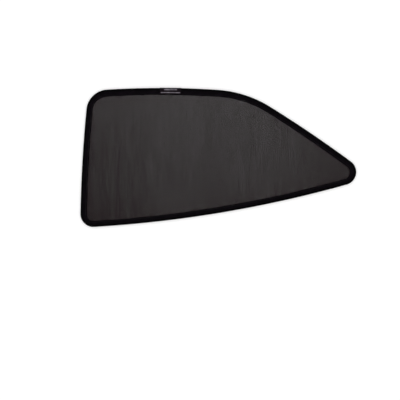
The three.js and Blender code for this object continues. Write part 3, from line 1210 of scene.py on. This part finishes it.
@dataclass(frozen=True)
class Openness:
    """How much of the mesh is hole, and how that changes over the window as shares of the whole."""

    whole: float = 0.168
    at_sill: float = 0.8
    sill_to_roof: float = 0.35
    rear_loss: float = 0.2
    rear_ends: float = 0.4
    tip_loss: float = 0.26
    tip_starts: float = 0.72
    streaks: float = 0.16
    clouds: float = 0.025
    cloud_length: float = 60 * MM
    cloud_lean: float = 0.3
    folds: float = 0.09
    # Painted shade: the cloth is made denser beside the hem to stand for the hem's shadow.
    rim_painted_shade_low: float = 0.24
    rim_painted_shade_change: float = 0.16
    rim_change_from: float = 20 * MM
    rim_change_over: float = 120 * MM

    def rim_painted_shade(self, y: np.ndarray) -> np.ndarray:
        """Returns how much denser the cloth is made against the hem, as painted shade for its shadow, most
        at the sill.
        """
        higher = smooth_step((y - self.rim_change_from) / self.rim_change_over)
        return self.rim_painted_shade_low - self.rim_painted_shade_change * higher


@dataclass
class MeshCloth:
    """The see-through cloth: thick upright wales over thin level courses.

    It is denser towards the sill, the rear and the tip. Heights are over the ground.
    """

    outline: Outline
    finish: YarnFinish = YarnFinish()
    openness: Openness = Openness()
    past_seam: float = 2.4 * MM
    pitch: float = 1.15 * MM
    course_share: float = 0.4
    course_heights: tuple = (1.2 * MM, 1.44 * MM)
    wale_heights: tuple = (1.42 * MM, 1.7 * MM)
    wale_wander: float = 0.05 * MM
    course_wander: float = 0.04 * MM
    wander_length: float = 30 * MM
    wale_lines: int = 997
    course_lines: int = 991
    first_line: int = 5
    yarn_places: float = 1e5
    step: float = 15 * MM
    hem_overlap: float = 5 * MM
    shaded_rim: float = 6 * MM
    rim_places: tuple = (0, 0.2, 0.55, 1.1)
    short_yarn_points: int = 7
    edge_points: int = 1600
    half_length: float = 380 * MM
    half_height: float = 180 * MM
    streak_width: float = 3.1 * MM
    streak_broad_width: float = 15 * MM
    streak_shares: tuple = (0.7, 0.3)
    streak_length: float = 38 * MM
    streak_turn: float = 2.0
    streak_turn_length: float = 45 * MM
    fold_fans: tuple = (((-0.345, 0.145), (-52, -34, -71)), ((-0.365, -0.155), (38, 58)))
    fold_width: float = 5.05 * MM
    fold_rise: float = 25 * MM
    fold_reach: float = 110 * MM
    fold_fade: float = 80 * MM
    fold_lift: float = 0.9 * MM

    def folds(self, x: np.ndarray, y: np.ndarray) -> np.ndarray:
        """Works out the soft tension folds that fan out from the rear corners.

        Args:
            x: Places towards the tip.
            y: Places towards the roof.

        Returns:
            How much they lift the cloth at each place, from 0 to 1.
        """
        lifted = np.zeros_like(x)
        for (corner_x, corner_y), directions in self.fold_fans:
            for degrees in directions:
                way_x, way_y = math.cos(math.radians(degrees)), math.sin(math.radians(degrees))
                along = (x - corner_x) * way_x + (y - corner_y) * way_y
                off = (x - corner_x) * way_y - (y - corner_y) * way_x
                rise = smooth_step(along / self.fold_rise)
                fade = smooth_step((self.fold_reach - along) / self.fold_fade)
                lifted = lifted + rise * fade * bell(off, self.fold_width)
        return lifted

    def streaks(self, x: np.ndarray, y: np.ndarray) -> np.ndarray:
        """Works out the yarns' own unevenness, which runs along them and fades in and out.

        Args:
            x: Places towards the tip.
            y: Places towards the roof.

        Returns:
            The unevenness at each place, from -1 to 1.
        """
        fine_share, broad_share = self.streak_shares
        turn = self.streak_turn * slow_noise(y, self.streak_turn_length, Line.STREAK_TURN)
        phase = y / self.streak_length + turn
        fine = slow_noise(x, self.streak_width, Line.STREAK) * np.cos(phase)
        fine = fine + slow_noise(x, self.streak_width, Line.STREAK_CROSSED) * np.sin(phase)
        broad = slow_noise(x, self.streak_broad_width, Line.STREAK_BROAD)
        return fine_share * fine + broad_share * broad

    def open_share(self, x: np.ndarray, y: np.ndarray, edge: np.ndarray) -> np.ndarray:
        """Works out how much of the cloth is hole.

        Args:
            x: Places towards the tip.
            y: Places towards the roof.
            edge: The cloth's edge, as a closed line of points.

        Returns:
            The share of hole at each place.
        """
        how = self.openness
        up = (y + self.half_height) / (2 * self.half_height)
        along = (x + self.half_length) / (2 * self.half_length)
        rear = how.rear_loss * smooth_step(1 - along / how.rear_ends)
        tip = how.tip_loss * smooth_step((along - how.tip_starts) / (1 - how.tip_starts))
        level = how.at_sill + how.sill_to_roof * up - rear - tip
        cloud = slow_noise(x + y * how.cloud_lean, how.cloud_length, Line.CLOUD)
        uneven = how.streaks * self.streaks(x, y) + how.clouds * cloud
        from_edge = np.linalg.norm(np.stack([x, y], axis=1)[:, None] - edge[None], axis=2).min(axis=1)
        # Painted shade: near the hem the cloth is made denser, standing for the hem's shadow on the floor
        # below.
        shaded = smooth_step(1 - (from_edge - self.hem_overlap) / self.shaded_rim)
        share = level + uneven + how.folds * self.folds(x, y)
        return how.whole * share * (1 - how.rim_painted_shade(y) * shaded)

    def build(self) -> bpy.types.Object:
        """Makes the cloth's yarns as three-sided prisms, wales on top of courses.

        Returns:
            The piece.
        """
        round_it = np.linspace(0, self.outline.round_it(), self.edge_points, endpoint=False)
        rim = self.outline.at(round_it)
        edge = rim.point + rim.inward * (rim.seam - self.past_seam)[:, None]
        (left, bottom), (right, top) = edge.min(axis=0), edge.max(axis=0)
        prisms = Prisms()
        for x in np.arange(left + self.pitch, right - self.pitch / 2, self.pitch):
            self._add_wale(prisms, edge, x)
        for y in np.arange(bottom + self.pitch, top - self.pitch / 2, self.pitch):
            self._add_course(prisms, edge, y)
        piece = prisms.piece("mesh_cloth", self.finish.make())
        settle(piece, "mesh", "mesh_panel")
        area = self._area(edge)
        right - left
        top - bottom
        LOG.info("mesh cloth cut to %.3f by %.3f m, %.4f square metres", right - left, top - bottom, area)
        return piece

    def _add_wale(self, prisms: "Prisms", edge: np.ndarray, x: float) -> None:
        """Adds an upright yarn, as wide as the holes beside it leave it.

        Args:
            prisms: What it is added to.
            edge: The cloth's edge.
            x: Its place towards the tip.
        """
        low, high = self._crossings(edge, 0, x)
        y = self._stations(low, high)
        line = self._line_of(x, self.wale_lines)
        wander = x + self.wale_wander * slow_noise(y, self.wander_length, line)
        hole = self.open_share(np.full_like(y, x), y, edge) / (1 - self.course_share)
        half = self.pitch * (1 - hole) / 2
        heights = self._heights(wander, y, self.wale_heights)
        prisms.add(np.stack([wander, y], axis=1), half, heights, 0)

    def _add_course(self, prisms: "Prisms", edge: np.ndarray, y: float) -> None:
        """Adds a level yarn.

        Args:
            prisms: What it is added to.
            edge: The cloth's edge.
            y: Its place towards the roof.
        """
        low, high = self._crossings(edge, 1, y)
        x = np.linspace(low, high, max(2, round((high - low) / self.step)) + 1)
        half = np.full_like(x, self.pitch * self.course_share / 2)
        line = self._line_of(y, self.course_lines)
        wander = y + self.course_wander * slow_noise(x, self.wander_length, line)
        heights = self._heights(x, wander, self.course_heights)
        prisms.add(np.stack([x, wander], axis=1), half, heights, 1)

    def _line_of(self, at: float, lines: int) -> int:
        """Returns which smooth random line a yarn at a place follows."""
        return int(at * self.yarn_places) % lines + self.first_line

    def _stations(self, low: float, high: float) -> np.ndarray:
        """Sets out places along an upright yarn, closer together beside the hem.

        Args:
            low: Where the yarn starts.
            high: Where it ends.

        Returns:
            The places.
        """
        places = np.array(self.rim_places)
        rims = places * self.shaded_rim + (places > 0) * self.hem_overlap
        if high - low < 3 * rims[-1]:
            return np.linspace(low, high, self.short_yarn_points)
        inside = high - low - 2 * rims[-1]
        middle = np.linspace(low + rims[-1], high - rims[-1], max(1, round(inside / self.step)) + 1)
        return np.concatenate([low + rims[:-1], middle, high - rims[:-1][::-1]])

    def _heights(self, x: np.ndarray, y: np.ndarray, heights: tuple) -> np.ndarray:
        """Returns a yarn's lower and upper heights at each place, lifted with the folds."""
        lift = self.fold_lift * self.folds(x, y)
        return np.stack([height + lift for height in heights], axis=1)

    @staticmethod
    def _area(edge: np.ndarray) -> float:
        """Returns the area inside a closed line."""
        after = np.roll(edge, -1, axis=0)
        return float(abs((edge[:, 0] * after[:, 1] - edge[:, 1] * after[:, 0]).sum()) / 2)

    @staticmethod
    def _crossings(edge: np.ndarray, axis: int, at: float) -> tuple[float, float]:
        """Finds where a level or upright line crosses the cloth's edge.

        Args:
            edge: The cloth's edge.
            axis: 0 for an upright line, and 1 for a level one.
            at: The line's place on that axis.

        Returns:
            The first and the last crossing, on the other axis.
        """
        after = np.roll(edge, -1, axis=0)
        crosses = (edge[:, axis] < at) != (after[:, axis] < at)
        a, b = edge[crosses], after[crosses]
        share = (at - a[:, axis]) / (b[:, axis] - a[:, axis])
        met = a[:, 1 - axis] + (b[:, 1 - axis] - a[:, 1 - axis]) * share
        return met.min(), met.max()


class Prisms:
    """Long three-sided yarns, gathered into one mesh."""

    def __init__(self) -> None:
        """Starts with no yarn."""
        self.points = []
        self.faces = []
        self.count = 0

    def add(self, line: np.ndarray, half: np.ndarray, heights: np.ndarray, axis: int) -> None:
        """Adds a yarn.

        Args:
            line: The points of its middle, seen from above.
            half: Half its width at each.
            heights: Its lower and upper heights at each.
            axis: 0 for a yarn that runs along Y, and 1 for one along X.
        """
        left, right = line.copy(), line.copy()
        left[:, axis] -= half
        right[:, axis] += half
        low, high = heights[:, :1], heights[:, 1:]
        rows = np.stack([np.hstack([left, low]), np.hstack([right, low]), np.hstack([line, high])], axis=1)
        if axis == 1:
            rows = rows[:, ::-1]
        steps = np.arange(len(line) - 1)[:, None] * 3 + self.count
        for i in range(3):
            j = (i + 1) % 3
            self.faces.append(np.hstack([steps + i, steps + 3 + i, steps + 3 + j, steps + j]))
        last = self.count + (len(line) - 1) * 3
        self.faces.append([[self.count, self.count + 1, self.count + 2], [last + 2, last + 1, last]])
        self.points.append(rows.reshape(-1, 3))
        self.count += len(line) * 3

    def piece(self, name: str, material: bpy.types.Material) -> bpy.types.Object:
        """Returns all the yarns as one piece."""
        faces = [list(map(int, face)) for group in self.faces for face in group]
        return add_piece(name, np.concatenate(self.points), faces, material)


@dataclass(frozen=True)
class Stripe:
    """One plain raised stripe of the label: its length, and how far in it starts and ends."""

    length: float
    starts: float
    ends: float
    end_ease: float = 0.5 * MM
    side_ease: float = 0.4 * MM

    def cover(self, along: np.ndarray, u: np.ndarray) -> np.ndarray:
        """Works out where the stripe is.

        Args:
            along: Distances along the outline from the label's middle.
            u: Distances in from the outline.

        Returns:
            How much of each place it covers, from 0 to 1.
        """
        ends = smooth_step((self.length / 2 - np.abs(along)) / self.end_ease + 0.5)
        low = smooth_step((u - self.starts) / self.side_ease + 0.5)
        high = smooth_step((self.ends - u) / self.side_ease + 0.5)
        return ends * low * high


@dataclass
class Label:
    """The small woven label over the top edge, with two plain stripes and stitches at each end."""

    outline: Outline
    tape: EdgeTape
    finish: LabelFinish = LabelFinish()
    stripes: tuple = (Stripe(36 * MM, 2.4 * MM, 6.5 * MM), Stripe(55 * MM, 11.45 * MM, 14.25 * MM))
    length: float = 60 * MM
    sections: int = 121
    thickness: float = 0.4 * MM
    above_tape: float = 0.3 * MM
    starts_at: float = math.radians(200)
    bead_points: int = 14
    flap_points: int = 30
    flap_from_crown: float = 0.6 * MM
    short_of_seam: float = 0.6 * MM
    folded_end: float = 4 * MM
    fold_height: float = 0.22 * MM
    fold_ease: float = 0.6 * MM
    stripe_height: float = 0.16 * MM
    rim_softness: float = 0.2 * MM
    rim_share: float = 30.0
    wave_height: float = 0.06 * MM
    wave_length: float = 4 * MM
    worn_share: float = 0.4
    worn_at: float = -0.5 * MM
    worn_width: float = 2.6 * MM
    stitches_from_end: float = 2.2 * MM
    stitches_above: float = 0.3 * MM
    stitch_rims: int = 6
    stitch_spacing: int = 5
    stitch_length: int = 4
    stitch_share: float = 0.92
    stitching: Stitching = field(
        default_factory=lambda: Stitching(half_width=0.2 * MM, half_height=0.15 * MM, dip=0.25 * MM)
    )

    def _line(self, stations: Stations) -> tuple[np.ndarray, np.ndarray]:
        """Lays the label's underside, up round the bead and down the front flap.

        Args:
            stations: The places along the outline.

        Returns:
            The points' distances in and heights, a row for each station.
        """
        ones = np.ones((len(stations.distance), 1))
        angle = np.linspace(self.starts_at, self.tape.leaves_bead_at, self.bead_points)
        radius = self.tape.bead_radius + self.above_tape
        bead_u = ones * (self.tape.bead_radius + radius * np.cos(angle))
        bead_z = ones * (self.tape.bead_radius + radius * np.sin(angle))
        crown_u, _ = self.tape.crown()
        end = self.tape.groove_starts(self.outline.at(np.zeros(1)))[0, 0] - self.short_of_seam
        flap_u = ones * np.linspace(crown_u + self.flap_from_crown, end, self.flap_points)
        flap_z = self.tape.front_height(stations, flap_u) + self.above_tape
        return np.concatenate([bead_u, flap_u], axis=1), np.concatenate([bead_z, flap_z], axis=1)

    def build(self) -> bpy.types.Object:
        """Makes the label's cloth, thicker where its ends are folded under.

        Returns:
            The piece.
        """
        distance = np.linspace(-self.length / 2, self.length / 2, self.sections)
        stations = self.outline.at(distance)
        u, z = self._line(stations)
        normal_u, normal_z = self._normals(u, z)
        stripe = np.max([stripe.cover(distance[:, None], u) for stripe in self.stripes], axis=0)
        top = self._top(distance[:, None], u, stripe)
        lower = stations.place(u[:, ::-1], z[:, ::-1])
        upper = stations.place(u + normal_u * top, z + normal_z * top)
        across = developed(u[0], z[0])
        wrap = np.concatenate([across, across[::-1], [0]])
        rows = np.concatenate([upper, lower], axis=1)[:, ::-1]
        piece = sweep_piece("label_cloth", rows, distance, wrap[::-1], self.finish.make())
        worn = stripe * (1 - self.worn_share * bell(distance[:, None] - self.worn_at, self.worn_width))
        both = np.concatenate([worn, np.zeros_like(stripe)], axis=1)[:, ::-1]
        set_point_value(piece, "stripe", both)
        settle(piece, "label", "label")
        stitches = self._end_stitches()
        LOG.info("label cut to %.4f by %.4f m", self.length, across[-1])
        return piece

    def _top(self, along: np.ndarray, u: np.ndarray, stripe: np.ndarray) -> np.ndarray:
        """Works out how far the label's face is from its underside.

        Args:
            along: Distances along the outline from the label's middle, as a column.
            u: Distances in from the outline, a row for each station.
            stripe: Where the stripes are.

        Returns:
            The distances, in the layout of u.
        """
        from_end = self.length / 2 - np.abs(along)
        fold = self.fold_height * smooth_step((self.folded_end - from_end) / self.fold_ease)
        rim = np.linspace(0, 1, u.shape[1])[None, :]
        soft = self.rim_softness * (1 - smooth_step(np.minimum(rim, 1 - rim) * self.rim_share))
        wave = self.wave_height * slow_noise(along + u, self.wave_length, Line.LABEL)
        return self.thickness + fold + self.stripe_height * stripe + wave - soft

    @staticmethod
    def _normals(u: np.ndarray, z: np.ndarray) -> tuple[np.ndarray, np.ndarray]:
        """Finds the way out of a line that runs up and inward.

        Args:
            u: Its points' distances in.
            z: Their heights.

        Returns:
            The way out at each point, as its two parts.
        """
        du, dz = np.gradient(u, axis=1), np.gradient(z, axis=1)
        length = np.hypot(du, dz)
        return -dz / length, du / length

    def _end_stitches(self) -> bpy.types.Object:
        """Makes the row of stitches across each end of the label.

        Returns:
            The piece.
        """
        ends = np.array([-1, 1]) * (self.length / 2 - self.stitches_from_end)
        stations = self.outline.at(ends)
        u, z = self._line(stations)
        normal_u, normal_z = self._normals(u, z)
        top = self.thickness + self.stitches_above
        line = stations.place(u + normal_u * top, z + normal_z * top)
        starts, stops, up = [], [], []
        for k in range(self.stitch_rims, u.shape[1] - self.stitch_rims, self.stitch_spacing):
            way = line[:, k + self.stitch_length] - line[:, k]
            starts.append(line[:, k])
            stops.append(line[:, k] + way * self.stitch_share)
            up.append(np.hstack([stations.inward * normal_u[:, k, None], normal_z[:, k, None]]))
        rows = [np.concatenate(part) for part in (starts, stops, up)]
        piece = self.stitching.build("label_stitches", *rows)
        settle(piece, "thread")
        return piece


@dataclass
class HiddenCore:
    """The wire ring and the bar magnets inside the tape, which keep their solid shapes."""

    wire: MetalFinish = WIRE_STEEL
    magnets: MetalFinish = MAGNET_NICKEL

    def dress(self) -> None:
        """Gives the wire and each magnet its metal."""
        steel, nickel = self.wire.make(), self.magnets.make()
        for name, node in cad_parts.items():
            if name == "wire_ring" or name.startswith("magnet_"):
                node.data.materials.clear()
                node.data.materials.append(steel if name == "wire_ring" else nickel)
                LOG.info("%s: dressed", name)


@dataclass
class Studio:
    """The white floor, the soft light and the camera straight above."""

    floor_size: float = 60.0
    floor_gap: float = 0.2 * MM
    world_light: float = 0.94
    lamp_size: float = 3.2
    lamp_at: tuple = (-0.15, 0.0, 3.0)
    lamp_power: float = 10.0
    lens: float = 85.0
    sensor: float = 36.0

    def build(self) -> None:
        """Makes everything round the shade."""
        self._floor()
        self._light()
        self._camera()
        bpy.context.scene.view_settings.view_transform = "Standard"

    def _floor(self) -> None:
        """Lays the floor that the shade lies on."""
        half = self.floor_size / 2
        corners = np.array([[-half, -half], [half, -half], [half, half], [-half, half]])
        corners = np.hstack([corners, np.full((4, 1), -self.floor_gap)])
        floor = add_piece("floor", corners, [[0, 1, 2, 3]], FloorFinish().make())

    def _light(self) -> None:
        """Lights the shade evenly from all round, and a little more from above."""
        world = bpy.data.worlds.new("pale_room")
        bpy.context.scene.world = world
        graph = Graph(world)
        kind = "ShaderNodeBackground"
        room = graph.node(kind, None, {"Color": WHITE, "Strength": self.world_light}).outputs[0]
        backdrop = graph.node(kind, None, {"Color": WHITE, "Strength": 1.0}).outputs[0]
        shown = graph.node("ShaderNodeMixShader", None, {0: graph.seen(), 1: room, 2: backdrop}).outputs[0]
        graph.node("ShaderNodeOutputWorld", None, {"Surface": shown})
        data = bpy.data.lights.new("overhead", "AREA")
        data.shape = "SQUARE"
        data.size = self.lamp_size
        data.energy = self.lamp_power
        lamp = bpy.data.objects.new("overhead", data)
        lamp.location = self.lamp_at
        bpy.context.scene.collection.objects.link(lamp)

    def _camera(self) -> None:
        """Sets the camera straight above, framed as the photograph is."""
        data = bpy.data.cameras.new("camera")
        data.lens = self.lens
        data.sensor_width = self.sensor
        camera = bpy.data.objects.new("camera", data)
        low, high = CAD_BOX
        frame_middle = PHOTO_WIDTH / 2
        right = (SHADE_MIDDLE_PX[0] - frame_middle) * PIXEL
        above = (frame_middle - SHADE_MIDDLE_PX[1]) * PIXEL
        height = PHOTO_WIDTH * PIXEL * self.lens / self.sensor
        camera.location = ((low[0] + high[0]) / 2 - right, (low[1] + high[1]) / 2 - above, height)
        bpy.context.scene.collection.objects.link(camera)
        bpy.context.scene.camera = camera


def main() -> None:
    """Builds the shade's pieces in order."""
    logging.basicConfig(level=logging.INFO, format="%(name)s: %(message)s")
    outline = Outline()
    tape = EdgeTape(outline)
    Studio().build()
    tape_piece = tape.build()
    seam = HemSeam(outline, tape)
    rows = [seam.build(side) for side in Side]
    outline.round_it()
    MeshCloth(outline).build()
    Label(outline, tape).build()
    HiddenCore().dress()


if __name__ == "__main__":
    main()
